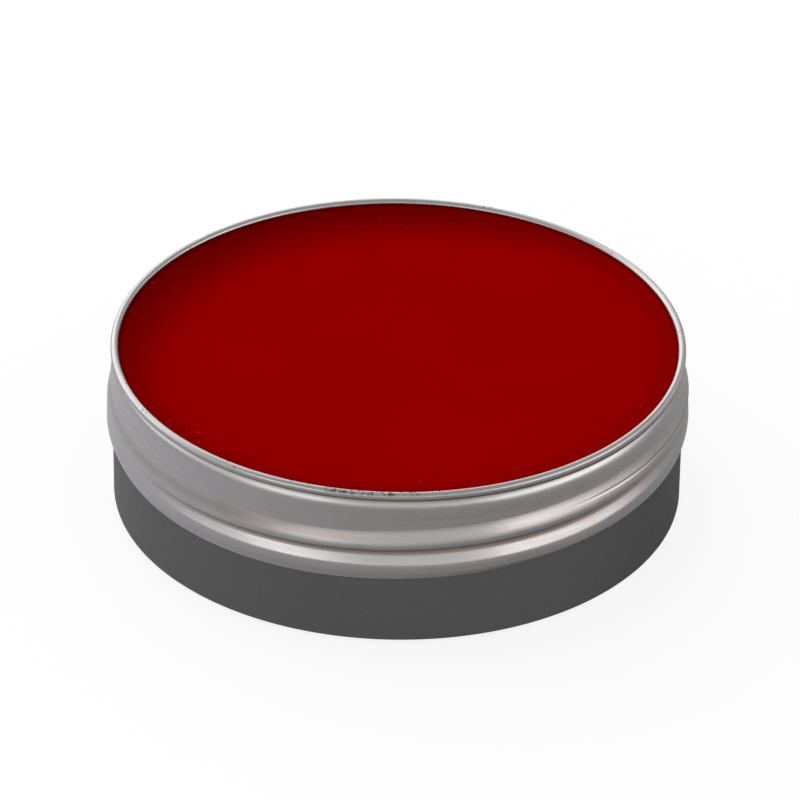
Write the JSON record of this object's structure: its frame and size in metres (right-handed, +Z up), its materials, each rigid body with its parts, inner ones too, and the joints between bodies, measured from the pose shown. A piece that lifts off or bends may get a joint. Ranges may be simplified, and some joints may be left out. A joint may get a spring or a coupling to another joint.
{
  "type": "paint jar",
  "caption": "Open round aluminium screw tin, shallow, with a rolled rim and thread, a plain dark wrap label and a fill of solid red paint.",
  "frame": {"origin": "centre of the flat ring that the tin stands on", "axes": "+Z up along the tin's axis, out of its open mouth; the front faces -Y"},
  "size_m": [0.0834, 0.0834, 0.0245],
  "materials": {
    "aluminium": "satin rolled sheet, bright on the rolled rim",
    "label": "matte charcoal vinyl film, no print",
    "paint": "smooth waxy deep red, soft sheen"
  },
  "bodies": {
    "root": {"tin_body": "aluminium", "wrap_label": "label", "paint": "paint"}
  },
  "joints": []
}
